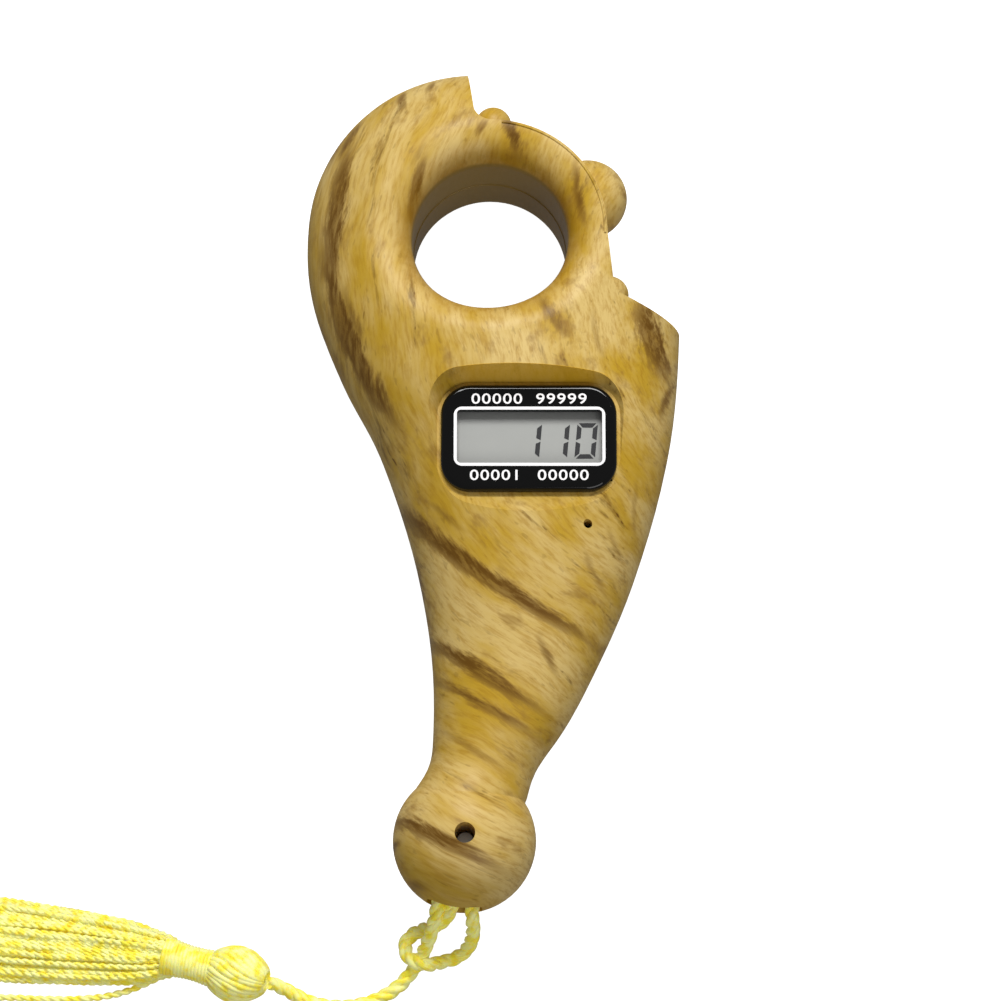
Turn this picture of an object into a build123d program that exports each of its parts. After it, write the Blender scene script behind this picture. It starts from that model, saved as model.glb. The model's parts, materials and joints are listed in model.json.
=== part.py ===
from build123d import *
import math
import os

os.makedirs("parts", exist_ok=True)

# Hand tally counter: a drop-shaped handle with a finger ring, push buttons on a track cut into the
# ring's side, a liquid-crystal display, and a tasselled cord through the ball at its lower end.
# Millimetres. It lies on its back: back face on z = 0, ring towards +Y, ball towards -Y.

# ---- casing
BODY_WIDTH = 50.6            # across the widest part of the handle
HANDLE_LENGTH = 83.2         # centre of the ring's outline to the centre of the ball
DRAWN_WIDTH = 50.6           # the outline table below is drawn at these two sizes
DRAWN_HANDLE = 83.2
RING_Y = 34.6                # centre of the ring's outline
RING_X = -2.7
RING_TOP = 23.5              # ring outline's reach upwards, to the left and to the right
RING_LEFT = 22.6
RING_RIGHT = 29.3
SEAM_Z = 10.0                # parting plane between the two shells
FRONT_RISE = 15.0            # crown of the front over the parting plane
BACK_RISE = 12.5             # crown of the back before it is cut flat
WALL = 1.6                   # casing wall
CAVITY_END = 72.0            # how far below the ring centre the hollow runs, at the drawn length
BALL_R = 9.5
BALL_ASIDE = -3.68           # ball's centre from the handle's middle, at the drawn width

# Outline of the handle below the ring's centre: distance down, left and right edge,
# rise of the front and of the back over the parting plane.
SECTIONS = [
    (0.0, -25.3, 26.6, 15.0, 12.5),
    (5.5, -25.1, 26.2, 15.0, 12.5),
    (11.2, -23.9, 25.6, 15.0, 12.5),
    (16.9, -21.8, 25.3, 15.0, 12.5),
    (22.5, -19.3, 24.9, 15.0, 12.4),
    (28.1, -16.3, 24.2, 14.5, 12.2),
    (33.7, -14.0, 23.1, 13.9, 11.8),
    (39.3, -12.1, 21.7, 13.2, 11.4),
    (44.9, -10.5, 20.0, 12.3, 10.9),
    (50.4, -9.3, 18.1, 11.2, 10.3),
    (55.9, -8.4, 15.8, 10.1, 9.6),
    (61.4, -7.9, 13.2, 9.2, 8.9),
    (69.6, -7.9, 8.6, 7.9, 7.8),
    (73.6, -8.6, 5.9, 7.3, 7.3),
    (76.3, -10.2, 4.9, 7.6, 7.6),
    (78.4, -11.3, 4.2, 8.0, 8.0),
]
DRAWN_RISE = 15.0
DRAWN_BACK = 12.5
RING_ANGLES = (14, 28, 41, 53, 63, 72, 80)
WIDEN = BODY_WIDTH / DRAWN_WIDTH
LENGTHEN = HANDLE_LENGTH / DRAWN_HANDLE

# ---- finger bore and button track
BORE_X = -0.35
BORE_Y = 32.3
BORE_R = 10.5
FRONT_RIM_R = 4.5            # rounding of the bore's mouths
BACK_RIM_R = 3.0
BORE_WALL = 1.2
TRACK_BAND = 5.3             # bore wall to the outside of the track
TRACK_R = BORE_R + TRACK_BAND
TRACK_WALL = 1.4
BEAK_CORNER_ANGLE = 97.0     # where the track meets the beak
BEAK_TOP = (-4.1, 63.0)
BEAK_CORNER_R = 2.5
TRACK_FOOT_ANGLE = -26.1     # where the track meets the shoulder
TRACK_FOOT_OUT = 2.85        # how far that is outside the track's circle
SHOULDER_FALL = 0.348        # drop of the shoulder for each millimetre outwards
SHOULDER_CORNER_R = 2.5
TRACK_REACH = 70.0           # size of the tool that cuts the track away

# ---- buttons, each on a line from the bore's axis: angle, dome radius, how far its dome's centre is
COUNT_ANGLE = 32.0
COUNT_R = 5.4
RESET_ANGLE = 88.7
RESET_R = 2.5
RESET_CENTRE = TRACK_R + 3.3
MODE_ANGLE = -18.2
MODE_R = 2.6
MODE_CENTRE = TRACK_R + 1.4
BUTTON_TRAVEL = 0.5
BUTTON_GAP = 0.15
CAP_WALL = 1.2
FLANGE_LIP = 0.8
FLANGE_T = 0.4
FLEX_T = 0.25
FLEX_WIDTH = 8.0
PLUNGER_GAP = 0.1

# ---- display
PLATE_X = 4.85
PLATE_Y = 3.75
PLATE_W = 23.4
PLATE_H = 14.6
PLATE_R = 4.0
PLATE_T = 1.2
PLATE_EDGE_R = 0.7
POCKET_Z = 20.3              # floor of the recess the display plate lies in
POCKET_GAP = 0.5
POCKET_TOP_Z = 27.0          # above the casing, where the recess's cutter ends
POCKET_SLOPES = (5.3, 2.0, 6.9)   # sideways, upwards and downwards spread of its walls
WINDOW_X = PLATE_X + 0.1
WINDOW_Y = PLATE_Y + 0.1
WINDOW_W = PLATE_W - 4.1
WINDOW_H = PLATE_H - 7.3
WINDOW_GAP = 0.1
WINDOW_T = 0.7
LCD_MARGIN = 1.1             # glass beyond the window, all round
LCD_LEDGE = 0.9              # rear glass beyond the front glass, for the contacts
LCD_GLASS_T = 0.7
LCD_GAP = 0.25
ZEBRA_W = 1.5
ZEBRA_H = 2.1

# ---- main board
BOARD_W = PLATE_W + 0.6
BOARD_H = PLATE_H + 2.5
BOARD_T = 1.0
BOARD_Y = PLATE_Y - 0.3
POST_X = BOARD_W / 2 - 1.55  # screw posts, from the board's middle
POST_Y = BOARD_H / 2 - 1.3
POST_R = 1.3
BOARD_SCREW_R = 0.6
BOARD_SCREW_HEAD_R = 1.25
BOARD_SCREW_HEAD_T = 0.8
BOARD_SCREW_GRIP = 1.8

# ---- sounder under its port
SOUNDER_X = 10.5
SOUNDER_R = 4.5
SOUNDER_Y = BOARD_Y - BOARD_H / 2 - SOUNDER_R - 0.9
PORT_X = SOUNDER_X + 2.15
PORT_Y = SOUNDER_Y + 2.5
PORT_R = 0.58
SOUNDER_Z = 16.6
SOUNDER_T = 0.2

# ---- battery and its door
CELL_X = 4.2
CELL_Y = 0.6
CELL_R = 5.8
CELL_H = 5.4
NECK_R = CELL_R + 1.2
DOOR_R = NECK_R + 1.2
DOOR_T = 1.2
DOOR_GAP = 0.15
LEDGE_T = 0.8
TAB_T = 0.6
TAB_REACH = 1.0
TAB_ARC = 34.0
DOOR_TURN = 45.0
GASKET_T = 0.18
COIN_SLOT = (10.0, 1.5, 0.7)
CUP_GAP = 0.3
CUP_WALL = 1.2
CONTACT_T = 0.25
SPRING_H = 0.85

# ---- casing screws: x, y
LOW_SCREW_DOWN = 57.4        # below the ring's centre, at the drawn length
SCREWS = [(-17.2 * WIDEN, 30.2), (17.4 * WIDEN, 16.4),
          (2.5 * WIDEN, RING_Y - LOW_SCREW_DOWN * LENGTHEN), (-11.6 * WIDEN, 13.2)]
SCREW_R = 0.9
SCREW_HEAD_R = 2.0
SCREW_HEAD_T = 1.3
SCREW_HEAD_Z = 3.2           # seat of the head, over the back face
SCREW_TIP_Z = 14.5
BOSS_R = 2.7

# ---- lanyard: a pin through the ball, a cord round it, a tassel
BALL_X = BALL_ASIDE * WIDEN
BALL_Y = RING_Y - HANDLE_LENGTH
PIN_X = BALL_X + 0.13
PIN_Y = BALL_Y - 0.5
PIN_R = 1.25
PIN_Z = (2.2, 13.5)
PIN_HOLE_R = 1.35
CORD_D = 2.0
CORD_GAP = 0.3
MOUTH_LEAN = 10.0            # the cord's channel leans towards -X by this many degrees
MOUTH_H = 4.6

# The cord's route, point by point: tassel to knot, up into the ball, round the pin and back, and
# the end's way round the knot and up into the ball's mouth again.
TAIL = [(-29.6, -66.4, 3.6), (-27.2, -67.2, 1.7), (-24.6, -68.7, 1.0), (-20.8, -69.5, 1.0),
        (-16.4, -68.9, 1.0), (-13.0, -67.1, 1.0), (-11.3, -65.4, 1.1)]
STRAND_UP = [(-8.9, -62.0, 4.4), (-8.2, -60.5, 6.2), (-7.6, -58.9, 8.4), (-7.25, -57.4, 9.6)]
STRAND_DOWN = [(-2.75, -58.1, 9.6), (-2.5, -59.5, 8.2), (-2.6, -60.9, 5.6), (-3.4, -62.1, 3.2),
               (-4.9, -63.0, 1.9), (-6.7, -63.5, 2.0)]
STRAND_END = [(-8.0, -59.1, 4.2), (-6.6, -58.9, 7.0), (-5.5, -57.9, 9.2), (-5.1, -56.4, 9.9)]
KNOT_X = -9.5
KNOT_Y = -61.7
KNOT_SIZE = (5.6, 7.0, 4.6)
KNOT_R = 1.9

TASSEL_HEAD = (-33.5, -65.5, 4.0)
TASSEL_HEAD_R = 3.85
TASSEL_NECK = [(-37.0, -64.6, 3.3, 2.7), (-43.8, -62.7, 2.9, 2.5)]   # x, y, z, radius
# the skirt of threads: x, y, half width, half thickness
TASSEL_SKIRT = [(-43.9, -62.7, 2.5, 2.4), (-52.0, -61.7, 4.3, 2.2), (-66.0, -60.8, 6.0, 1.9),
                (-86.0, -60.0, 7.0, 1.5)]

BOARD_TOP = POCKET_Z - WALL - ZEBRA_H - 0.2
BOARD_Z = BOARD_TOP - BOARD_T
TRACK_INNER = TRACK_R - TRACK_WALL
FLEX_R = BORE_R + BORE_WALL + 0.05


def cylinder(x, y, radius, low, high):
    """Upright round bar between two heights."""
    return Pos(x, y, low) * Cylinder(radius, high - low, align=(Align.CENTER, Align.CENTER, Align.MIN))


def block(x, y, width, depth, low, high):
    """Upright block centred on x, y between two heights."""
    size = (Align.CENTER, Align.CENTER, Align.MIN)
    return Pos(x, y, low) * Box(width, depth, high - low, align=size)


def half_section(y, left, right, rise, front):
    """Half an ellipse standing on the parting plane, at one place along the handle."""
    middle = (left + right) / 2
    reach = (right - left) / 2
    start = 0 if front else 180
    arc = EllipticalCenterArc((middle, SEAM_Z), reach, rise, start_angle=start, arc_size=180)
    base = Line((middle - reach, SEAM_Z), (middle + reach, SEAM_Z))
    return Plane.XZ.offset(-y) * make_face(arc + base)


def half_body(front, inset=0.0):
    """One half of the handle's swelling body, ending in a point at the ring's top."""
    crown = FRONT_RISE / DRAWN_RISE if front else BACK_RISE / DRAWN_BACK
    faces = []
    for down, left, right, front_rise, back_rise in reversed(SECTIONS):
        if inset and down > CAVITY_END:
            continue
        rise = (front_rise if front else back_rise) * crown - inset
        faces.append(half_section(RING_Y - down * LENGTHEN, left * WIDEN + inset,
                                  right * WIDEN - inset, rise, front))
    top_rise = (FRONT_RISE if front else BACK_RISE) - inset
    for angle in RING_ANGLES:
        turn = math.radians(angle)
        left = RING_X * WIDEN - (RING_LEFT * WIDEN - inset) * math.cos(turn)
        right = RING_X * WIDEN + (RING_RIGHT * WIDEN - inset) * math.cos(turn)
        y = RING_Y + (RING_TOP - inset) * math.sin(turn)
        faces.append(half_section(y, left, right, top_rise * math.cos(turn), front))
    tip = Vertex(RING_X * WIDEN, RING_Y + RING_TOP - inset, SEAM_Z)
    return loft(faces + [tip])


def with_ball(half, front):
    """The half body with its half of the ball."""
    whole = half + Pos(BALL_X, BALL_Y, SEAM_Z) * Sphere(BALL_R)
    side = Keep.TOP if front else Keep.BOTTOM
    return split(whole, bisect_by=Plane.XY.offset(SEAM_Z), keep=side)


def track_cutter(grow=0.0):
    """What is cut away beside the ring: beak, round track and shoulder, full height."""
    corner = math.radians(BEAK_CORNER_ANGLE)
    start = (BORE_X + TRACK_R * math.cos(corner), BORE_Y + TRACK_R * math.sin(corner))
    turn = math.radians(TRACK_FOOT_ANGLE)
    out = TRACK_R + TRACK_FOOT_OUT
    track_foot = (BORE_X + out * math.cos(turn), BORE_Y + out * math.sin(turn))
    far = (TRACK_REACH, track_foot[1] - SHOULDER_FALL * (TRACK_REACH - track_foot[0]))
    arc = CenterArc((BORE_X, BORE_Y), TRACK_R, BEAK_CORNER_ANGLE, -BEAK_CORNER_ANGLE)
    rest = Polyline(arc @ 1, track_foot, far, (TRACK_REACH, TRACK_REACH), (BEAK_TOP[0], TRACK_REACH),
                    BEAK_TOP, start)
    plan = make_face(arc + rest)
    beak = plan.vertices().sort_by_distance(start)[0]
    plan = fillet(beak, BEAK_CORNER_R)
    foot = plan.vertices().sort_by_distance(track_foot)[0]
    plan = fillet(foot, SHOULDER_CORNER_R)
    if grow:
        plan = offset(plan, grow)
    return extrude(Pos(0, 0, -5) * plan, SEAM_Z + FRONT_RISE + 15)


def pocket_cutter(grow=0.0):
    """The sloping recess that the display plate lies in."""
    side, up, down = POCKET_SLOPES
    width = PLATE_W + 2 * POCKET_GAP
    height = PLATE_H + 2 * POCKET_GAP
    floor = RectangleRounded(width + 2 * grow, height + 2 * grow, PLATE_R + POCKET_GAP + grow)
    top = RectangleRounded(width + 2 * side + 2 * grow, height + up + down + 2 * grow,
                           PLATE_R + POCKET_GAP + side / 2 + grow)
    return loft([Pos(PLATE_X, PLATE_Y, POCKET_Z - grow) * floor,
                 Pos(PLATE_X, PLATE_Y + (up - down) / 2, POCKET_TOP_Z - grow) * top], ruled=True)


def bore_cutter(grow=0.0):
    """The finger hole, right through."""
    return cylinder(BORE_X, BORE_Y, BORE_R + grow, -5, SEAM_Z + FRONT_RISE + 10)


def rim_edges(shape, radius, low, high):
    """The round edge of a bore's mouth between two heights."""
    edges = []
    for edge in shape.edges():
        centre = edge.center(CenterOf.BOUNDING_BOX)
        spread = [math.hypot(p.X - BORE_X, p.Y - BORE_Y) for p in (edge @ 0, edge @ 0.5, edge @ 1)]
        if all(abs(s - radius) < 0.02 for s in spread) and low < centre.Z < high:
            edges.append(edge)
    return edges


def radial(angle):
    """A frame on the bore's axis whose z runs outwards through a button."""
    turn = math.radians(angle)
    return Plane(origin=(BORE_X, BORE_Y, SEAM_Z), x_dir=(0, 0, 1), z_dir=(math.cos(turn), math.sin(turn), 0))


def bar(radius, low, high):
    """A round bar along z between two distances, for use in a button's frame."""
    return cylinder(0, 0, radius, low, high)


def button_holes():
    """The holes in the track's wall that the three buttons slide in."""
    holes = radial(COUNT_ANGLE) * bar(COUNT_R + BUTTON_GAP, BORE_R + BORE_WALL + 0.6, TRACK_R + 3)
    holes += radial(RESET_ANGLE) * bar(RESET_R + BUTTON_GAP, TRACK_INNER - 0.6, RESET_CENTRE + RESET_R + 1)
    holes += radial(MODE_ANGLE) * bar(MODE_R + BUTTON_GAP, TRACK_INNER - 0.6, MODE_CENTRE + MODE_R + 1)
    return holes


def cord_channel():
    """The arched way round the pin and its mouth at the ball's lower end."""
    reach = PIN_R + CORD_D + CORD_GAP
    half = CORD_D / 2 + CORD_GAP
    arch = bar(reach, -half, half)
    arch += Pos(0, -BALL_R, 0) * Box(2 * reach, 2 * BALL_R, 2 * half)
    low = Pos(0, -BALL_R * 0.62, 0) * Rot(90, 0, 0) * RectangleRounded(2 * reach, 2 * half, 0.6)
    end = Pos(0, -BALL_R * 1.2, 0) * Rot(90, 0, 0) * RectangleRounded(2 * reach + 0.8, MOUTH_H * 1.4, 1.6)
    return Pos(PIN_X, PIN_Y, SEAM_Z) * Rot(0, 0, -MOUTH_LEAN) * (arch + loft([low, end], ruled=True))


def make_front_shell():
    """Front shell: crowned, with the display recess, screw posts and the sounder's seat."""
    body = half_body(True) - bore_cutter()
    body = fillet(rim_edges(body, BORE_R, SEAM_Z + 1, 40), FRONT_RIM_R)
    body = with_ball(body, True) - track_cutter()
    cavity = half_body(True, WALL) - bore_cutter(BORE_WALL)
    cavity = fillet(rim_edges(cavity, BORE_R + BORE_WALL, SEAM_Z + 1, 40), FRONT_RIM_R - WALL)
    cavity = cavity - track_cutter(TRACK_WALL) - pocket_cutter(WALL)
    for x, y in SCREWS:
        cavity -= cylinder(x, y, BOSS_R, SEAM_Z, 40)
    for x, y in board_posts():
        cavity -= cylinder(x, y, POST_R, BOARD_TOP, 40)
    seat = cylinder(SOUNDER_X, SOUNDER_Y, SOUNDER_R + 0.7, SOUNDER_Z - 1.2, 40)
    seat -= cylinder(SOUNDER_X, SOUNDER_Y, SOUNDER_R + 0.1, SOUNDER_Z - 1.3, SOUNDER_Z)
    seat -= cylinder(SOUNDER_X, SOUNDER_Y, SOUNDER_R - 0.9, SOUNDER_Z - 1.3, 40)
    cavity -= seat
    body = body - pocket_cutter() - cavity
    body -= block(WINDOW_X, WINDOW_Y - LCD_LEDGE / 2, lcd_width() + 2 * LCD_GAP,
                  lcd_height() + LCD_LEDGE + 2 * LCD_GAP, POCKET_Z - WALL - 0.5, POCKET_Z + 0.5)
    for x, y in SCREWS:
        body -= cylinder(x, y, SCREW_R + 0.03, SEAM_Z - 1, SCREW_TIP_Z + 0.4)
    for x, y in board_posts():
        body -= cylinder(x, y, BOARD_SCREW_R + 0.03, BOARD_TOP - 1, BOARD_TOP + BOARD_SCREW_GRIP + 0.3)
    body -= cylinder(PORT_X, PORT_Y, PORT_R, SOUNDER_Z + 0.3, 40)
    body -= cylinder(PIN_X, PIN_Y, PIN_HOLE_R, SEAM_Z - 1, 40)
    return body - cord_channel() - button_holes()


def make_back_shell():
    """Back shell: flat outside, with the battery cup, the door's seat and the screw bosses."""
    body = half_body(False) - block(0, 0, 300, 300, -20, 0) - bore_cutter()
    body = fillet(rim_edges(body, BORE_R, -1, 1), BACK_RIM_R)
    body = with_ball(body, False) - track_cutter()
    cavity = (half_body(False, WALL) & block(0, 0, 300, 300, WALL, 40)) - bore_cutter(BORE_WALL)
    cavity -= cylinder(BORE_X, BORE_Y, BORE_R + BACK_RIM_R + 0.6, 0, BACK_RIM_R)
    cavity -= track_cutter(TRACK_WALL)
    for x, y in SCREWS:
        cavity -= cylinder(x, y, BOSS_R + 0.4, 0, SEAM_Z)
    seat_r = DOOR_R + DOOR_GAP + 1.6
    cavity -= cylinder(CELL_X, CELL_Y, seat_r, 0, door_stack()["tab_top"] + 0.3)
    cup_r = CELL_R + CUP_GAP + CUP_WALL
    cavity -= cylinder(CELL_X, CELL_Y, cup_r, 0, SEAM_Z)
    body -= cavity
    body -= door_seat()
    for x, y in SCREWS:
        body -= cylinder(x, y, SCREW_HEAD_R + 0.25, -1, SCREW_HEAD_Z)
        body -= cylinder(x, y, SCREW_R + 0.2, 0, SEAM_Z + 1)
    body -= cylinder(PIN_X, PIN_Y, PIN_R, PIN_Z[0], SEAM_Z + 1)
    return body - cord_channel() - button_holes()


def door_stack():
    """Heights in the battery compartment, one on the other."""
    ledge_low = DOOR_T + 0.2
    ledge_top = ledge_low + LEDGE_T
    tab_low = ledge_top + 0.1
    tab_top = tab_low + TAB_T
    cell_low = tab_top + 0.05
    cell_top = cell_low + CELL_H
    return {"ledge_low": ledge_low, "ledge_top": ledge_top, "tab_low": tab_low, "tab_top": tab_top,
            "cell_low": cell_low, "cell_top": cell_top, "cup_top": cell_top + SPRING_H}


def tab_sectors(inner, outer, low, high, arc, middle):
    """Two opposite sectors of a ring about the door's axis."""
    ring = cylinder(0, 0, outer, low, high) - cylinder(0, 0, inner, low - 1, high + 1)
    wedge = Polygon((0, 0), *[(40 * math.cos(math.radians(a)), 40 * math.sin(math.radians(a)))
                              for a in (-arc / 2, 0, arc / 2)], align=None)
    wedge = extrude(Pos(0, 0, low - 2) * wedge, high - low + 4)
    both = (Rot(0, 0, middle) * wedge) + (Rot(0, 0, middle + 180) * wedge)
    return Pos(CELL_X, CELL_Y, 0) * (ring & both)


def door_seat():
    """The stepped hole for the battery door, its bayonet ledge, and the cell's cup."""
    high = door_stack()
    seat = cylinder(CELL_X, CELL_Y, DOOR_R + DOOR_GAP, -1, high["ledge_low"])
    seat += cylinder(CELL_X, CELL_Y, NECK_R + DOOR_GAP, 0, high["tab_top"] + 0.1)
    seat += cylinder(CELL_X, CELL_Y, NECK_R + TAB_REACH + 0.2, high["ledge_top"], high["tab_top"] + 0.1)
    seat += tab_sectors(NECK_R - 1, NECK_R + TAB_REACH + 0.2, 0, high["tab_top"] + 0.1,
                        TAB_ARC + 6, 90 + DOOR_TURN)
    seat += cylinder(CELL_X, CELL_Y, CELL_R + CUP_GAP, high["tab_top"], high["cup_top"])
    seat += Pos(CELL_X - CELL_R, CELL_Y, high["cell_low"]) * Box(
        2.4, 3.4, 20, align=(Align.CENTER, Align.CENTER, Align.MIN))
    return seat


def make_battery_door():
    """Round door with a coin slot and two bayonet tabs."""
    high = door_stack()
    door = cylinder(CELL_X, CELL_Y, DOOR_R, 0, DOOR_T)
    door = fillet(door.edges().group_by(Axis.Z)[0], 0.3)
    door += cylinder(CELL_X, CELL_Y, NECK_R, DOOR_T, high["tab_top"])
    door += tab_sectors(NECK_R - 0.5, NECK_R + TAB_REACH, high["tab_low"], high["tab_top"], TAB_ARC, 90)
    length, width, depth = COIN_SLOT
    slot = extrude(Pos(CELL_X, CELL_Y, -1) * SlotOverall(length, width), depth + 1)
    return door - slot


def make_door_gasket():
    ring = cylinder(CELL_X, CELL_Y, DOOR_R - 0.1, DOOR_T, DOOR_T + GASKET_T)
    return ring - cylinder(CELL_X, CELL_Y, NECK_R + 0.05, 0, 5)


def make_battery_cell():
    """Button cell, its negative cap upwards."""
    high = door_stack()
    can = cylinder(CELL_X, CELL_Y, CELL_R, high["cell_low"], high["cell_top"] - 0.5)
    can = fillet(can.edges().group_by(Axis.Z)[0], 0.5)
    return can + cylinder(CELL_X, CELL_Y, CELL_R - 1.0, high["cell_low"], high["cell_top"])


def make_negative_contact():
    """Stamped leaf under the cup's top, its tongue bent down on to the cell."""
    high = door_stack()
    top = high["cup_top"]
    low = high["cell_top"] + 0.02
    plate = block(CELL_X - 0.4, CELL_Y, 7.2, 3.0, top - CONTACT_T, top)
    tongue = Polygon((-3.6, top - CONTACT_T), (-2.9, top - CONTACT_T), (1.4, low + CONTACT_T),
                     (2.6, low + CONTACT_T), (2.6, low), (1.2, low), align=None)
    return plate + Pos(CELL_X, CELL_Y + 0.9, 0) * extrude(Plane.XZ * tongue, 1.8)


def make_positive_contact():
    """Strip that presses on the side of the cell's can and reaches up to the board."""
    high = door_stack()
    x = CELL_X - CELL_R - CONTACT_T / 2 - 0.02
    strip = block(x, CELL_Y, CONTACT_T, 3.0, high["cell_low"] + 0.3, BOARD_Z - 0.3)
    return strip + block(x - 1.0, CELL_Y, 2.2, 3.0, BOARD_Z - 0.3, BOARD_Z)


def lcd_width():
    return WINDOW_W + 2 * LCD_MARGIN


def lcd_height():
    return WINDOW_H + 2 * LCD_MARGIN


def make_display_plate():
    """Black plate with rounded edges and the window cut through it."""
    plate = extrude(Pos(PLATE_X, PLATE_Y, POCKET_Z) * RectangleRounded(PLATE_W, PLATE_H, PLATE_R), PLATE_T)
    plate = fillet(plate.edges().group_by(Axis.Z)[-1], PLATE_EDGE_R)
    hole = RectangleRounded(WINDOW_W, WINDOW_H, 0.5)
    return plate - extrude(Pos(WINDOW_X, WINDOW_Y, POCKET_Z - 1) * hole, PLATE_T + 2)


def make_display_window():
    pane = RectangleRounded(WINDOW_W - 2 * WINDOW_GAP, WINDOW_H - 2 * WINDOW_GAP, 0.4)
    return extrude(Pos(WINDOW_X, WINDOW_Y, POCKET_Z + PLATE_T - 0.15 - WINDOW_T) * pane, WINDOW_T)


def lcd_levels():
    """Undersides of the front glass and of the rear glass."""
    front = POCKET_Z - 0.3 - LCD_GLASS_T
    return front, front - LCD_GLASS_T


def make_lcd_front_glass():
    return block(WINDOW_X, WINDOW_Y, lcd_width(), lcd_height(), lcd_levels()[0], POCKET_Z - 0.3)


def make_lcd_rear_glass():
    front, rear = lcd_levels()
    return block(WINDOW_X, WINDOW_Y - LCD_LEDGE / 2, lcd_width(), lcd_height() + LCD_LEDGE, rear, front)


def make_lcd_reflector():
    rear = lcd_levels()[1]
    return block(WINDOW_X, WINDOW_Y + ZEBRA_W / 2, lcd_width() - 0.6, lcd_height() - ZEBRA_W - 0.4,
                 rear - 0.15, rear)


def make_zebra_strip():
    """Elastomer strip between the rear glass's ledge and the board."""
    y = WINDOW_Y - lcd_height() / 2 - LCD_LEDGE + ZEBRA_W / 2
    return block(WINDOW_X, y, lcd_width() - 1.0, ZEBRA_W, BOARD_TOP, lcd_levels()[1])


def board_posts():
    """Where the main board is screwed down."""
    return [(PLATE_X + sx * POST_X, BOARD_Y + sy * POST_Y) for sx in (-1, 1) for sy in (-1, 1)]


def make_main_board():
    board = extrude(Pos(PLATE_X, BOARD_Y, BOARD_Z) * RectangleRounded(BOARD_W, BOARD_H, 0.8), BOARD_T)
    for x, y in board_posts():
        board -= cylinder(x, y, BOARD_SCREW_R + 0.15, 0, 40)
    return board


def make_board_screws():
    """Four pan-head screws, from below into the front shell's posts."""
    screws = []
    for x, y in board_posts():
        head = cylinder(x, y, BOARD_SCREW_HEAD_R, BOARD_Z - BOARD_SCREW_HEAD_T, BOARD_Z)
        head = fillet(head.edges().group_by(Axis.Z)[0], 0.3)
        screw = head + cylinder(x, y, BOARD_SCREW_R, BOARD_Z - 0.2, BOARD_TOP + BOARD_SCREW_GRIP)
        for turn in (0, 90):
            screw -= Pos(x, y, BOARD_Z - BOARD_SCREW_HEAD_T) * Rot(0, 0, turn) * Box(1.5, 0.3, 0.7)
        screws.append(screw)
    return Compound(screws)


def make_chip_blob():
    """Low dome of black resin over the counter's chip, under the board."""
    rise, reach = 1.3, 3.6
    radius = (reach ** 2 + rise ** 2) / (2 * rise)
    dome = Pos(PLATE_X + 4.0, BOARD_Y + 1.5, BOARD_Z - rise + radius) * Sphere(radius)
    return dome & block(PLATE_X, BOARD_Y, 60, 60, BOARD_Z - rise - 1, BOARD_Z)


def make_crystal():
    """Crystal can on the board's underside."""
    can = Pos(PLATE_X - 4.4, BOARD_Y + 5.4, BOARD_Z - 1.05) * Rot(0, 90, 0) * Cylinder(1.0, 6.0)
    return fillet(can.edges().group_by(Axis.X)[0], 0.25)


def make_sounder_disc():
    return cylinder(SOUNDER_X, SOUNDER_Y, SOUNDER_R, SOUNDER_Z - SOUNDER_T, SOUNDER_Z)


def make_sounder_ceramic():
    return cylinder(SOUNDER_X, SOUNDER_Y, SOUNDER_R - 1.2, SOUNDER_Z - 2 * SOUNDER_T, SOUNDER_Z - SOUNDER_T)


def make_switch_flex():
    """Flexible circuit wrapped round the bore's wall, with a tail down to the main board."""
    ring = bar(FLEX_R + FLEX_T, -FLEX_WIDTH / 2, FLEX_WIDTH / 2) - bar(FLEX_R, -FLEX_WIDTH, FLEX_WIDTH)
    points = [(40 * math.cos(math.radians(a)), 40 * math.sin(math.radians(a)))
              for a in (-70, -30, 10, 50, 98)]
    wedge = extrude(Pos(0, 0, -10) * Polygon((0, 0), *points, align=None), 20)
    band = Pos(BORE_X, BORE_Y, SEAM_Z) * (ring & wedge)
    turn = math.radians(-70)
    x = BORE_X + (FLEX_R + FLEX_T / 2) * math.cos(turn) + 0.1
    top = BORE_Y + (FLEX_R + FLEX_T / 2) * math.sin(turn) + 0.1
    low = BOARD_Y + BOARD_H / 2
    tail = block(x, (top + low) / 2, FLEX_T, top - low, SEAM_Z - FLEX_WIDTH / 2, BOARD_TOP)
    tail += block(x - 1.5, low + 0.15, 3.2, FLEX_T, SEAM_Z, BOARD_TOP)
    return band + tail


def switch_parts(angle, side, top, plunger_r, plunger_top):
    """A switch body on the flex and its plunger, which the button carries."""
    base = FLEX_R + FLEX_T + 0.02
    body = Pos(0, 0, base) * Box(side, side, top - base, align=(Align.CENTER, Align.CENTER, Align.MIN))
    floor = max(base + 0.1, plunger_top - BUTTON_TRAVEL - (plunger_top - top) - 0.4)
    body -= bar(plunger_r + PLUNGER_GAP, floor, top + 1)
    plunger = bar(plunger_r, floor + BUTTON_TRAVEL + 0.05, plunger_top)
    return radial(angle) * body, radial(angle) * plunger


def make_count_button():
    """Hollow dome with a flange inside the track's wall and a stem down to the switch."""
    base = BORE_R + BORE_WALL + BUTTON_TRAVEL + FLEX_T
    cap = bar(COUNT_R, base, TRACK_R) + Pos(0, 0, TRACK_R) * Sphere(COUNT_R)
    cap += bar(COUNT_R + FLANGE_LIP, base, base + FLANGE_T)
    inner = COUNT_R - CAP_WALL
    cap -= bar(inner, base - COUNT_R, TRACK_R)
    cap -= Pos(0, 0, TRACK_R) * Sphere(inner)
    cap -= bar(COUNT_R + 5, base - 10, base)
    stem = bar(1.4, count_levels()[1], TRACK_R + inner + 0.4)
    return radial(COUNT_ANGLE) * (cap + stem)


def count_levels():
    """Top of the count switch's body and of its plunger."""
    top = FLEX_R + FLEX_T + 2.1
    return top, top + 0.8


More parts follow.
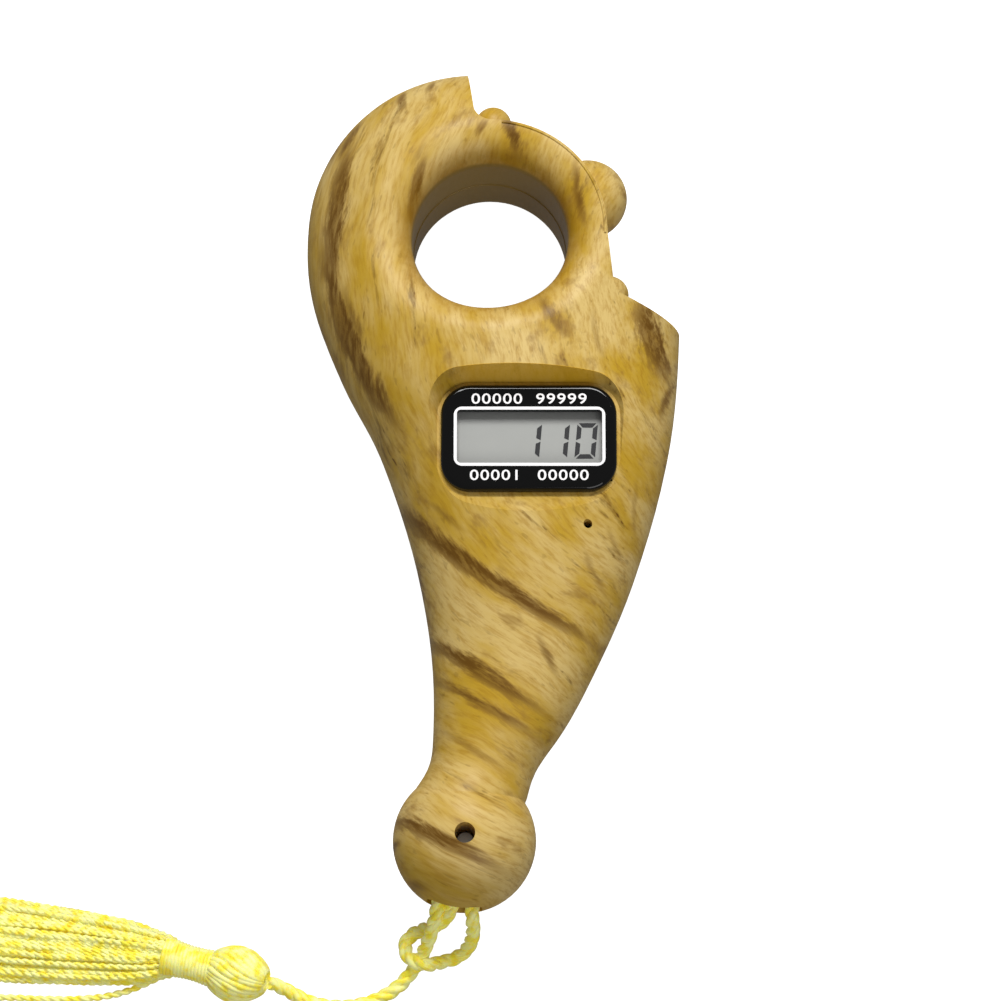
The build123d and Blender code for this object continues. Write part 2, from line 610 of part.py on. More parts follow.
def small_button(angle, radius, centre, flange):
    """Solid dome on a short shank, held by a flange behind the track's wall."""
    knob = bar(radius, flange, centre) + Pos(0, 0, centre) * Sphere(radius)
    knob -= bar(radius + 3, flange - 10, flange)
    knob += bar(radius + FLANGE_LIP, flange, flange + FLANGE_T)
    return radial(angle) * knob


RESET_FLANGE = TRACK_INNER - 0.9
MODE_FLANGE = TRACK_INNER - 0.85


def make_casing_screws():
    """Four self-tapping screws that hold the shells together, from the back."""
    screws = []
    for x, y in SCREWS:
        head = cylinder(x, y, SCREW_HEAD_R, SCREW_HEAD_Z - SCREW_HEAD_T, SCREW_HEAD_Z)
        head = fillet(head.edges().group_by(Axis.Z)[0], 0.4)
        screw = head + cylinder(x, y, SCREW_R, SCREW_HEAD_Z - 0.2, SCREW_TIP_Z - 0.8)
        foot = (Align.CENTER, Align.CENTER, Align.MIN)
        screw += Pos(x, y, SCREW_TIP_Z - 0.8) * Cone(SCREW_R, 0.2, 0.8, align=foot)
        for turn in (0, 90):
            screw -= Pos(x, y, SCREW_HEAD_Z - SCREW_HEAD_T) * Rot(0, 0, turn) * Box(2.4, 0.45, 1.2)
        screws.append(screw)
    return Compound(screws)


def make_lanyard_pin():
    pin = cylinder(PIN_X, PIN_Y, PIN_R, *PIN_Z)
    return chamfer(pin.edges().filter_by(GeomType.CIRCLE), 0.2)


def bend_radii(points):
    """Radius of each corner: 0.45 of its shorter run over the tangent of half its turn."""
    radii = []
    for before, here, after in zip(points, points[1:], points[2:]):
        a = Vector(*here) - Vector(*before)
        b = Vector(*after) - Vector(*here)
        half = math.radians(a.get_angle(b)) / 2
        radii.append(0.45 * min(a.length, b.length) / math.tan(half))
    return radii


def tube(name, points, radii=None):
    """Round cord along straight runs joined by tangent arcs."""
    radii = radii or bend_radii(points)
    path = FilletPolyline(*points, radius=radii)
    start = Plane(origin=points[0], z_dir=path % 0)
    solid = sweep(start * Circle(CORD_D / 2), path)
    expected = math.pi * (CORD_D / 2) ** 2 * path.length
    print(name, "length %.1f" % path.length, "volume / expected %.3f" % (solid.volume / expected),
          "radii", ["%.1f" % r for r in radii])
    return solid


def pin_turn():
    """The two corners of the cord's way round the pin, in its leaning channel."""
    reach = PIN_R + CORD_D / 2 + 0.03
    frame = Pos(PIN_X, PIN_Y, SEAM_Z) * Rot(0, 0, -MOUTH_LEAN)
    places = [(-reach, -4.5), (-reach, reach), (reach, reach), (reach, -4.5)]
    return [tuple((frame * Pos(x, y, 0)).position) for x, y in places], reach - 0.02


def make_cord_loop():
    """Up from the knot, round the pin, and down again to the knot."""
    turn, turn_r = pin_turn()
    points = STRAND_UP + turn + STRAND_DOWN
    radii = bend_radii(points)
    first = len(STRAND_UP)
    radii[first] = radii[first + 1] = turn_r
    return tube("cord_loop", points, radii)


def make_cord_knot():
    """Plain rounded lump of the knot's outer shape."""
    size = KNOT_SIZE
    lump = Pos(KNOT_X, KNOT_Y, size[2] / 2) * Box(*size)
    return fillet(lump.edges(), KNOT_R)


def make_tassel_head():
    x, y, z = TASSEL_HEAD
    return Pos(x, y, z) * Sphere(TASSEL_HEAD_R)


def make_tassel_binding():
    """Wound neck between the knob and the skirt."""
    (x0, y0, z0, r0), (x1, y1, z1, r1) = TASSEL_NECK
    along = Vector(x1 - x0, y1 - y0, z1 - z0)
    ends = [Plane(origin=(x0, y0, z0), z_dir=along) * Circle(r0),
            Plane(origin=(x1, y1, z1), z_dir=along) * Circle(r1)]
    return loft(ends, ruled=True)


def make_tassel_skirt():
    """Outer shape of the bundle of threads, lying on the floor."""
    faces = []
    for x, y, wide, thick in TASSEL_SKIRT:
        frame = Plane(origin=(x, y, thick + 0.15), x_dir=(0, 1, 0), z_dir=(-1, 0, 0))
        faces.append(frame * Ellipse(wide, thick))
    return loft(faces)


def write(name, shape):
    export_step(shape, "parts/" + name + ".step")


count_switch, count_plunger = switch_parts(COUNT_ANGLE, 4.4, count_levels()[0], 1.0, count_levels()[1])
reset_switch, reset_plunger = switch_parts(RESET_ANGLE, 3.0, RESET_FLANGE - BUTTON_TRAVEL - 0.1, 0.8,
                                           RESET_FLANGE)
mode_switch, mode_plunger = switch_parts(MODE_ANGLE, 3.0, MODE_FLANGE - BUTTON_TRAVEL - 0.1, 0.8,
                                         MODE_FLANGE)

write("front_shell", make_front_shell())
write("back_shell", make_back_shell())
write("battery_door", make_battery_door())
write("door_gasket", make_door_gasket())
write("battery_cell", make_battery_cell())
write("negative_contact", make_negative_contact())
write("positive_contact", make_positive_contact())
write("display_plate", make_display_plate())
write("display_window", make_display_window())
write("lcd_front_glass", make_lcd_front_glass())
write("lcd_rear_glass", make_lcd_rear_glass())
write("lcd_reflector", make_lcd_reflector())
write("zebra_strip", make_zebra_strip())
write("main_board", make_main_board())
write("board_screws", make_board_screws())
write("chip_blob", make_chip_blob())
write("crystal", make_crystal())
write("sounder_disc", make_sounder_disc())
write("sounder_ceramic", make_sounder_ceramic())
write("switch_flex", make_switch_flex())
write("count_button", make_count_button())
write("count_switch", count_switch)
write("count_plunger", count_plunger)
write("reset_button", small_button(RESET_ANGLE, RESET_R, RESET_CENTRE, RESET_FLANGE))
write("reset_switch", reset_switch)
write("reset_plunger", reset_plunger)
write("mode_button", small_button(MODE_ANGLE, MODE_R, MODE_CENTRE, MODE_FLANGE))
write("mode_switch", mode_switch)
write("mode_plunger", mode_plunger)
write("casing_screws", make_casing_screws())
write("lanyard_pin", make_lanyard_pin())
write("cord_tail", tube("cord_tail", TAIL))
write("cord_loop", make_cord_loop())
write("cord_end", tube("cord_end", STRAND_END))
write("cord_knot", make_cord_knot())
write("tassel_head", make_tassel_head())
write("tassel_binding", make_tassel_binding())
write("tassel_skirt", make_tassel_skirt())
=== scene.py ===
"""Hand tally counter: finishes and soft pieces round the fixed casing, its stage and its light."""
import json
import math
import random

import bmesh
import bpy
from mathutils import Matrix, Vector


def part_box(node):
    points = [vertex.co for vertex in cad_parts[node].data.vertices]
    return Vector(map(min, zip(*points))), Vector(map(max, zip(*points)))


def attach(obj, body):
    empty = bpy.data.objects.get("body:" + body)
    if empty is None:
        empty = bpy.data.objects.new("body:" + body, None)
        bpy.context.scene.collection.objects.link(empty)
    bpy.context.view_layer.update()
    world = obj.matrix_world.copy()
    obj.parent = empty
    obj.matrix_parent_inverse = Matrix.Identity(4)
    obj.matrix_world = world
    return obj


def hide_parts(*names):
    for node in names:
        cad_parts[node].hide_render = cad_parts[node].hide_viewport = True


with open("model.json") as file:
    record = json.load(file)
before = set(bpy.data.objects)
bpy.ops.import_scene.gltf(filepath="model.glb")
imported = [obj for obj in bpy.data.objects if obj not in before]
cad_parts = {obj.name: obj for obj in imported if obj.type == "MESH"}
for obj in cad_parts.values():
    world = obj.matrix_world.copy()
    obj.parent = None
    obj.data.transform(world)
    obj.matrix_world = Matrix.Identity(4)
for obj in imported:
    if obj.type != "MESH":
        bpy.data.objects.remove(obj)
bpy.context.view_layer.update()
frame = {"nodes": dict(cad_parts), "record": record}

MM = 0.001
SEED = 7

# ---- sizes and places of the casing and the display, in millimetres, from the frame
SEAM_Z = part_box("back_shell")[1].z / MM         # parting plane between the two shells
finger_bore = next(m for m in frame["record"]["mounts"] if m["name"] == "finger_bore")
BORE = [c / MM for c in finger_bore["pos_m"][:2]]
BORE_R = finger_bore["dims"]["r_mm"]
plate_low, plate_high = [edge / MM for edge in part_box("display_plate")]
pane_low, pane_high = [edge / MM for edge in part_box("display_window")]
PANE_GAP = 0.1               # between the pane and the hole in the plate
WINDOW = ((pane_low.x + pane_high.x) / 2, (pane_low.y + pane_high.y) / 2)
WINDOW_W = pane_high.x - pane_low.x + 2 * PANE_GAP
WINDOW_H = pane_high.y - pane_low.y + 2 * PANE_GAP
PLATE_TOP = plate_high.z
LCD_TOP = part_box("lcd_front_glass")[1].z / MM

# ---- bead along the button track's edge: angles about the bore, and its place inside the track's circle
TRACK_R = BORE_R + 5.3
TRACK_FROM, TRACK_TO, TRACK_STEPS = 84.0, -1.0, 60
BEAD_IN = 0.30
BEAD_R = 0.20
ABOVE_ALL = 40.0             # height from which the bead is dropped on to the shell

# ---- upper wall of the recess round the plate, brightened with painted light: its foot, its rise and spread, half its straight stretch
RECESS_Z = plate_low.z
RECESS_Y = plate_high.y + 0.5
RECESS_RISE, RECESS_SPREAD = 6.7, 2.0
RECESS_HALF = 7.5
RECESS_CORNER = 4.0          # over which the wall's painted light fades into its corners

# ---- camera, millimetres and degrees, and stage, metres
FLOOR_REACH = 3.0
FLOOR_DROP = 0.02            # millimetres under the object, so that the two don't flicker
WORLD_STRENGTH = 0.25
AIM = (1.09, -2.0, SEAM_Z)
CAMERA_AWAY = 611.6
CAMERA_TILT = 14.5
CAMERA_LENS = 163.0

# ---- the cord's route, from the tassel through the knot, up round the pin and back to the ball
PIN = (-3.55, -49.1)
MOUTH_LEAN = 10.0
PIN_TURN = 2.28
TAIL = [(-29.6, -66.4, 3.6), (-27.2, -67.2, 1.7), (-24.6, -68.7, 1.0), (-20.8, -69.5, 1.0),
        (-16.4, -68.9, 1.0), (-13.0, -67.1, 1.0), (-11.3, -65.4, 1.1), (-9.9, -63.6, 1.6)]
STRAND_UP = [(-8.9, -62.0, 4.4), (-8.2, -60.5, 6.2), (-7.6, -58.9, 8.4), (-7.25, -57.4, 9.6)]
STRAND_DOWN = [(-2.75, -58.1, 9.6), (-2.5, -59.5, 8.2), (-2.6, -60.9, 5.6), (-3.4, -62.1, 3.2),
               (-4.9, -63.0, 1.9), (-6.7, -63.5, 2.2)]
BIGHT = [(-8.4, -64.1, 3.5), (-10.0, -63.9, 3.6), (-11.5, -62.6, 2.5), (-11.7, -60.9, 1.7),
         (-10.7, -59.7, 1.8), (-9.4, -59.3, 2.8)]
STRAND_END = [(-8.0, -59.1, 4.2), (-6.6, -58.9, 7.0), (-5.5, -57.9, 9.2), (-5.1, -56.4, 9.9)]
CORD_D = 2.0
STRANDS = 3
STRAND_R = 0.54
STRAND_LAY = 5.2             # millimetres along the cord for one turn of a strand

TASSEL_HEAD = (-33.5, -65.5, 4.0)
TASSEL_HEAD_R = 3.85
TASSEL_NECK = [(-37.0, -64.6, 3.3), (-43.8, -62.7, 2.9)]


# ---------------------------------------------------------------- shader maths

class Wire:
    """A node's output; arithmetic on it adds Math nodes."""

    def __init__(self, finish, socket):
        self.finish = finish
        self.socket = socket

    def maths(self, operation, *values):
        return self.finish.node("ShaderNodeMath", {"operation": operation}, *values)

    def __add__(self, other):
        return self.maths("ADD", self, other)

    def __sub__(self, other):
        return self.maths("SUBTRACT", self, other)

    def __rsub__(self, other):
        return self.maths("SUBTRACT", other, self)

    def __mul__(self, other):
        return self.maths("MULTIPLY", self, other)

    def __truediv__(self, other):
        return self.maths("DIVIDE", self, other)

    def __pow__(self, other):
        return self.maths("POWER", self, other)

    __radd__ = __add__
    __rmul__ = __mul__

    def rise(self, low, high):
        """0 below low, 1 above high, smooth between."""
        return self.finish.node("ShaderNodeMapRange", {"interpolation_type": "SMOOTHSTEP"},
                                self, low, high, 0.0, 1.0)

    def near(self, middle, width):
        """1 at the middle, falling to 0 a width away on either side."""
        return 1 - self.maths("ABSOLUTE", self - middle).rise(0.0, width)


class Finish:
    """A material under construction."""

    def __init__(self, name, **surface):
        self.material = bpy.data.materials.new(name)
        self.material.use_nodes = True
        self.tree = self.material.node_tree
        self.shader = self.tree.nodes["Principled BSDF"]
        self.set(**surface)

    def put(self, socket, value):
        """Links a wire to a socket, or sets the socket's own value."""
        if isinstance(value, Wire):
            self.tree.links.new(value.socket, socket)
        elif hasattr(value, "__len__") and len(value) == 3 and socket.type == "RGBA":
            socket.default_value = (*value, 1.0)
        else:
            socket.default_value = value

    def node(self, kind, settings, *values, out=0, **named):
        """Adds a node: settings first, then its sockets by order or by name."""
        node = self.tree.nodes.new(kind)
        for key, value in settings.items():
            setattr(node, key, value)
        for socket, value in zip(node.inputs, values):
            if value is not None:
                self.put(socket, value)
        for key, value in named.items():
            self.put(node.inputs[key.replace("_", " ")], value)
        return Wire(self, node.outputs[out])

    def set(self, **surface):
        """Sets or links the shader's sockets by name."""
        for key, value in surface.items():
            self.put(self.shader.inputs[key.replace("_", " ")], value)

    def place(self):
        """Object coordinates in millimetres."""
        spot = self.node("ShaderNodeTexCoord", {}, out=3)
        return self.node("ShaderNodeVectorMath", {"operation": "SCALE"}, spot, Scale=1 / MM)

    def parts(self, vector):
        """A vector's three numbers."""
        node = self.tree.nodes.new("ShaderNodeSeparateXYZ")
        self.put(node.inputs[0], vector)
        return [Wire(self, output) for output in node.outputs]

    def vector(self, x, y, z):
        return self.node("ShaderNodeCombineXYZ", {}, x, y, z)

    def noise(self, vector, scale, detail, rough):
        return self.node("ShaderNodeTexNoise", {}, Vector=vector, Scale=scale, Detail=detail,
                         Roughness=rough)

    def mix(self, factor, first, second):
        """One colour blended over another."""
        node = self.tree.nodes.new("ShaderNodeMix")
        node.data_type = "RGBA"
        for index, value in ((0, factor), (6, first), (7, second)):
            self.put(node.inputs[index], value)
        return Wire(self, node.outputs[2])

    def bump(self, height, strength, distance):
        """Bumps the surface; distance in millimetres."""
        normal = self.node("ShaderNodeBump", {}, Strength=strength, Distance=distance * MM, Height=height)
        self.set(Normal=normal)


# ---------------------------------------------------------------- wood print

GRAIN_CENTRE = (43.0, 27.0)  # the printed grain runs in arcs about this point
GRAIN_TURN = 60.0            # length along the grain for one radian round its centre
GRAIN_LEAN = 0.15            # how far the grain shifts along itself with height
TAN = (0.51, 0.312, 0.024)
PALE = (0.66, 0.475, 0.165)
HONEY = (0.35, 0.172, 0.006)
UMBER = (0.135, 0.060, 0.004)
PLUM = (0.28, 0.150, 0.030)
# unprinted olive plastic inside the finger bore, darkened as painted shade inside the hole
OLIVE_AND_PAINTED_SHADE = (0.27, 0.170, 0.022)
# painted light: a brighter amber laid on the recess's upper wall, which the lamps leave in shade
RECESS_PAINTED_LIGHT = (0.80, 0.44, 0.015)
BORE_DARK_REACH = 3.4            # how far the darker ring round the finger bore reaches
BOLD_ENOUGH = 0.5            # fainter prints carry no bold streaks

# the print's boldest streaks: where each starts and ends on the casing, half width, strength
STREAKS = [
    # left edge
    ((-23.0, 29.0), (-12.0, 4.0), 1.5, 0.95),
    ((-20.0, 43.5), (-21.5, 23.0), 1.9, 0.85),
    ((-16.0, 59.0), (-23.0, 42.5), 1.5, 0.75),
    ((-20.0, 23.0), (-16.5, 14.0), 1.0, 0.5),
    # top left
    ((-19.0, 48.0), (-21.5, 42.0), 1.0, 0.7),
    ((-13.0, 52.5), (-14.0, 50.0), 0.8, 0.5),
    ((-9.0, 54.0), (-10.0, 51.5), 0.8, 0.5),
    ((-10.0, 42.0), (-11.5, 38.5), 0.8, 0.35),
    # round the ring
    ((1.0, 46.0), (2.5, 41.5), 1.6, 0.8),
    ((-2.0, 45.5), (-3.0, 43.5), 0.8, 0.5),
    ((-10.0, 39.5), (-11.5, 32.5), 1.0, 0.8),
    ((10.5, 40.5), (12.0, 31.5), 1.0, 0.6),
    ((6.5, 21.0), (10.5, 15.0), 1.3, 0.6),
    ((13.5, 20.0), (16.0, 11.5), 0.8, 0.35),
    # shoulder
    ((20.5, 23.0), (24.0, 12.5), 2.4, 0.85),
    ((24.5, 12.0), (23.5, 7.0), 1.2, 0.6),
    # handle, from the display down
    ((-12.0, -5.0), (15.0, -24.0), 1.4, 0.95),
    ((-7.5, -6.0), (-1.5, -11.5), 0.8, 0.4),
    ((-9.5, -11.5), (-7.5, -19.5), 1.2, 0.5),
    ((20.5, -2.0), (20.5, -9.5), 1.0, 0.35),
    ((14.0, -13.0), (17.0, -18.0), 0.9, 0.4),
    ((17.0, -9.5), (19.0, -13.0), 0.8, 0.35),
    ((-7.5, -23.0), (9.0, -34.0), 1.4, 0.8),
    ((8.5, -25.0), (11.0, -29.0), 1.0, 0.5),
    ((-6.5, -28.5), (8.0, -37.0), 1.0, 0.65),
    ((-5.5, -35.5), (5.5, -42.5), 0.9, 0.4),
    # ball
    ((-11.5, -47.5), (4.0, -55.0), 1.3, 0.8),
    ((-12.5, -45.5), (-10.0, -46.0), 0.9, 0.5),
    ((-13.0, -51.0), (-10.0, -51.5), 0.9, 0.6),
    ((-9.5, -56.0), (-5.5, -57.5), 0.9, 0.4),
]


def grain_place(x, y):
    """A point's distance from the grain's centre, and its place along the grain."""
    away_x, away_y = GRAIN_CENTRE[0] - x, GRAIN_CENTRE[1] - y
    return math.hypot(away_x, away_y), math.atan2(away_y, away_x) * GRAIN_TURN


def streak_mask(streak, distance, along, rag):
    """1 along the middle of one bold streak, falling to 0 at its ragged sides and its ends."""
    start, end, width, strength = streak
    start_distance, start_along = grain_place(*start)
    end_distance, end_along = grain_place(*end)
    middle = (start_along + end_along) / 2
    reach = abs(end_along - start_along) / 2
    drift = (end_distance - start_distance) / (end_along - start_along)
    centre = (along - middle) * drift + (start_distance + end_distance) / 2
    aside = distance - centre + (rag - 0.5) * (width * 1.9)
    return aside.near(0.0, width * 1.35) * along.near(middle, reach * 1.35 + 0.8) ** 0.6 * strength


def painted_light_recess_mask(x, y, z):
    """Mask of painted light: 1 on the recess's upper wall, 0 on the crown beyond its rim."""
    wall = (y - RECESS_Y) * (RECESS_RISE / RECESS_SPREAD) + RECESS_Z
    aside = x.maths("ABSOLUTE", x - WINDOW[0])
    inside = 1 - aside.rise(RECESS_HALF, RECESS_HALF + RECESS_CORNER)
    return (1 - (wall - z).rise(0.05, 0.25)) * y.rise(RECESS_Y - 0.6, RECESS_Y - 0.1) * inside


def wood_print(name, bold=1.0, casing=True):
    """Printed light wood: honey base, long arcs of brown streaks, fine fibres and pores."""
    skin = Finish(name, Specular_IOR_Level=0.22)
    spot = skin.place()
    x, y, z = skin.parts(spot)
    wander = skin.noise(spot, 0.03, 2.0, 0.5)
    ripple = skin.noise(spot, 0.11, 1.0, 0.4)
    away_x = GRAIN_CENTRE[0] - x
    away_y = GRAIN_CENTRE[1] - y
    distance = (away_x * away_x + away_y * away_y) ** 0.5
    across = distance + (wander - 0.5) * 5.0 + (ripple - 0.5) * 1.6
    along = away_y.maths("ARCTAN2", away_y, away_x) * GRAIN_TURN + z * GRAIN_LEAN

    cloud = skin.noise(skin.vector(across * 0.16, along * 0.05, z * 0.07), 1.0, 4.0, 0.6)
    fibre = skin.noise(skin.vector(across * 2.4, along * 0.30, z * 0.5), 1.0, 5.0, 0.65)
    strand = skin.noise(skin.vector(across * 0.55, along * 0.055, z * 0.12), 1.0, 4.0, 0.62)
    blotch = skin.noise(skin.vector(across * 0.30, along * 0.12, z * 0.15 + 7.0), 1.0, 4.0, 0.65)
    dash = skin.noise(skin.vector(across * 1.9, along * 0.50, z * 0.7), 1.0, 1.0, 0.4)
    rag = skin.noise(skin.vector(across * 1.3, along * 0.20, z * 0.3 + 3.0), 1.0, 5.0, 0.7)

    colour = skin.mix(cloud.rise(0.34, 0.64), TAN, PALE)
    colour = skin.mix(fibre.rise(0.42, 0.70) * 0.50, colour, HONEY)
    colour = skin.mix(blotch.rise(0.54, 0.72) * (0.42 + fibre * 0.4), colour, PLUM)
    ribs = strand.rise(0.57, 0.70)
    colour = skin.mix(ribs * rag.rise(0.35, 0.62) * (0.70 * bold), colour, UMBER)
    colour = skin.mix(dash.rise(0.66, 0.74) * (0.25 + ribs * 0.6) * bold, colour, UMBER)
    if bold > BOLD_ENOUGH:
        bands = [streak_mask(streak, distance, along, rag) for streak in STREAKS]
        dark = bands[0]
        for band in bands[1:]:
            dark = dark.maths("MAXIMUM", dark, band)
        colour = skin.mix(dark.rise(0.05, 0.60) * 0.55, colour, PLUM)
        colour = skin.mix(dark.rise(0.15, 0.75) * (0.45 + rag.rise(0.35, 0.60) * 0.55), colour, UMBER)
    if casing:
        out_x = x - BORE[0]
        out_y = y - BORE[1]
        radius = (out_x * out_x + out_y * out_y) ** 0.5
        # a darker honey ring round the finger bore's rim
        rim_darkening = (1 - radius.rise(BORE_R, BORE_R + BORE_DARK_REACH)) * (0.45 + blotch.rise(0.35, 0.65) * 0.5)
        colour = skin.mix(rim_darkening * 0.75, colour, HONEY)
        # olive plastic inside the bore, its colour darkened as painted shade
        colour = skin.mix(1 - radius.rise(BORE_R + 0.02, BORE_R + 0.25), colour, OLIVE_AND_PAINTED_SHADE)
        # painted light: brighter amber on the recess's upper wall, standing in for light the lamps don't give
        # it
        colour = skin.mix(painted_light_recess_mask(x, y, z) * 0.7, colour, RECESS_PAINTED_LIGHT)
    skin.set(Base_Color=colour, Roughness=0.36 + fibre * 0.14)
    skin.bump(fibre * 0.6 + dash * 0.4, 0.10, 0.04)
    return skin.material


# ---------------------------------------------------------------- other finishes

def plain(name, colour, rough):
    """A moulded finish with slight mottling of colour and gloss."""
    skin = Finish(name)
    spot = skin.place()
    fleck = skin.noise(spot, 8.0, 3.0, 0.6)
    worn = skin.noise(spot, 0.35, 2.0, 0.5)
    darker = tuple(c * 0.78 for c in colour)
    skin.set(Base_Color=skin.mix(worn * 0.5 + fleck * 0.3, colour, darker),
             Roughness=rough * 0.85 + fleck * (rough * 0.3))
    skin.bump(fleck, 0.06, 0.02)
    return skin.material


def brushed(name, colour, rough):
    """Metal with fine drawn lines."""
    skin = Finish(name, Metallic=1.0)
    x, y, z = skin.parts(skin.place())
    line = skin.noise(skin.vector(x * 0.4, y * 0.4, z * 9.0), 1.0, 3.0, 0.6)
    darker = tuple(c * 0.8 for c in colour)
    skin.set(Base_Color=skin.mix(line, colour, darker), Roughness=rough + line * 0.12)
    skin.bump(line, 0.08, 0.02)
    return skin.material


def clear(name, tint, alpha):
    """Thin clear sheet: mostly see-through, with a gloss."""
    skin = Finish(name, Base_Color=tint, Alpha=alpha, IOR=1.45)
    haze = skin.noise(skin.place(), 0.5, 2.0, 0.5)
    skin.set(Roughness=0.02 + haze * 0.03)
    return skin.material


def black_gloss(name):
    """Polished black plate with faint dust."""
    skin = Finish(name, Specular_IOR_Level=0.3)
    dust = skin.noise(skin.place(), 6.0, 4.0, 0.7)
    skin.set(Base_Color=skin.mix(dust.rise(0.62, 0.80), (0.002, 0.002, 0.002), (0.02, 0.02, 0.021)),
             Roughness=0.05 + dust.rise(0.5, 0.8) * 0.10)
    return skin.material


def reflector(name):
    """Grey-green matt film behind the liquid crystal, with painted shade towards its upper edge, where the
    plate above shades it.
    """
    skin = Finish(name)
    spot = skin.place()
    _, y, _ = skin.parts(spot)
    speck = skin.noise(spot, 14.0, 2.0, 0.5)
    # painted shade: darker grey along the upper edge, under the plate's rim
    colour = skin.mix(y.rise(6.2, 8.2) * 0.65, (0.60, 0.61, 0.58), (0.16, 0.16, 0.16))
    skin.set(Base_Color=skin.mix(speck * 0.25, colour, (0.48, 0.49, 0.47)), Roughness=0.55)
    skin.bump(speck, 0.05, 0.02)
    return skin.material


def display_cell(name):
    """Liquid-crystal cell seen from the front: matt grey, shaded along its upper edge by the plate."""
    skin = Finish(name, Specular_IOR_Level=0.3)
    spot = skin.place()
    _, y, _ = skin.parts(spot)
    speck = skin.noise(spot, 14.0, 2.0, 0.5)
    haze = skin.noise(spot, 0.25, 2.0, 0.5)
    colour = skin.mix(haze * 0.5, (0.47, 0.475, 0.45), (0.40, 0.405, 0.385))
    colour = skin.mix(y.rise(5.2, 7.5) * 0.55, colour, (0.17, 0.17, 0.17))
    skin.set(Base_Color=skin.mix(speck * 0.15, colour, (0.33, 0.34, 0.32)), Roughness=0.4 + speck * 0.1)
    return skin.material


def board(name):
    """Green solder resist with copper tracks glimmering through."""
    skin = Finish(name, Coat_Weight=0.3)
    x, y, z = skin.parts(skin.place())
    lane = skin.node("ShaderNodeTexWave", {"wave_type": "BANDS", "bands_direction": "X"},
                     Vector=skin.vector(x * 0.12, y * 0.02, z), Scale=4.0, Distortion=5.0, Detail=1.0)
    track = lane.rise(0.55, 0.70)
    skin.set(Base_Color=skin.mix(track, (0.012, 0.13, 0.04), (0.03, 0.24, 0.07)), Roughness=0.35)
    skin.bump(track, 0.2, 0.03)
    return skin.material


YELLOW = (1.0, 0.89, 0.05)
LEMON = (1.0, 1.0, 0.40)
# painted shade: the orange that fills the gaps between the yarn's fibres
AMBER_CREVICE_SHADE = (1.0, 0.46, 0.002)


def silk(name, twist, per_length):
    """Silky yellow yarn: fibres that run round the thread at a slant, on its own UV map, with a faint painted
    glow and painted shade between the fibres.
    """
    skin = Finish(name, Sheen_Weight=0.4, Sheen_Roughness=0.4, Emission_Strength=0.07, Subsurface_Weight=0.25,
                  Subsurface_Scale=0.5 * MM, Subsurface_Radius=(1.0, 0.6, 0.1))
    uv = skin.node("ShaderNodeUVMap", {"uv_map": "UVMap"})
    u, v, _ = skin.parts(uv)
    spot = skin.place()
    hair = skin.noise(skin.vector(u * per_length, v * 26.0 + u * twist, 0.0), 1.0, 3.0, 0.6)
    shade = skin.noise(spot, 0.7, 2.0, 0.5)
    # painted shade: amber where the fibre bump dips, yellow on the fibres
    colour = skin.mix(hair.rise(0.28, 0.52), AMBER_CREVICE_SHADE, YELLOW)
    colour = skin.mix(shade.rise(0.35, 0.62) * 0.85, colour, LEMON)
    # painted glow: the yarn emits a little light in its own colour
    skin.set(Base_Color=colour, Emission_Color=colour, Roughness=0.36 + hair * 0.2)
    skin.bump(hair, 0.35, 0.08)
    return skin.material


def printed_white(name):
    """White ink with a little tooth."""
    skin = Finish(name)
    fleck = skin.noise(skin.place(), 10.0, 3.0, 0.6)
    skin.set(Base_Color=skin.mix(fleck * 0.3, (0.93, 0.92, 0.92), (0.78, 0.76, 0.77)), Roughness=0.4)
    skin.bump(fleck, 0.1, 0.01)
    return skin.material


def liquid_crystal(name):
    """A lit bar of the display: nearly black and matt."""
    skin = Finish(name)
    fleck = skin.noise(skin.place(), 12.0, 3.0, 0.6)
    skin.set(Base_Color=skin.mix(fleck * 0.4, (0.004, 0.004, 0.006), (0.010, 0.011, 0.014)), Roughness=0.55)
    return skin.material


# ---------------------------------------------------------------- pieces

def piece(name, mesh, material, smooth=True):
    """Puts a finished mesh into the scene as one piece that rides on the casing."""
    thing = bpy.data.objects.new(name, mesh)
    bpy.context.scene.collection.objects.link(thing)
    if smooth:
        mesh.polygons.foreach_set("use_smooth", [True] * len(mesh.polygons))
    mesh.materials.clear()
    mesh.materials.append(material)
    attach(thing, "casing")
    return thing


def from_bmesh(name, form):
    """A mesh of a finished form, its faces pointing outwards."""
    bmesh.ops.recalc_face_normals(form, faces=form.faces)
    mesh = bpy.data.meshes.new(name)
    form.to_mesh(mesh)
    form.free()
    return mesh


def raise_faces(form, way):
    """Gives a flat form its thickness."""
    top = bmesh.ops.extrude_face_region(form, geom=form.faces[:])["geom"]
    bmesh.ops.translate(form, vec=way, verts=[g for g in top if isinstance(g, bmesh.types.BMVert)])


def metres(points):
    return [Vector(point) * MM for point in points]


def route_points():
    """The cord's control points, in order, from the tassel to its end in the ball."""
    lean = Matrix.Rotation(math.radians(-MOUTH_LEAN), 4, "Z")
    turn = [lean @ Vector((x, y, 0)) + Vector((*PIN, SEAM_Z)) for x, y in
            ((-PIN_TURN, -4.5), (-PIN_TURN, PIN_TURN), (PIN_TURN, PIN_TURN), (PIN_TURN, -4.5))]
    return metres(TAIL + STRAND_UP + [tuple(t) for t in turn] + STRAND_DOWN + BIGHT + STRAND_END)


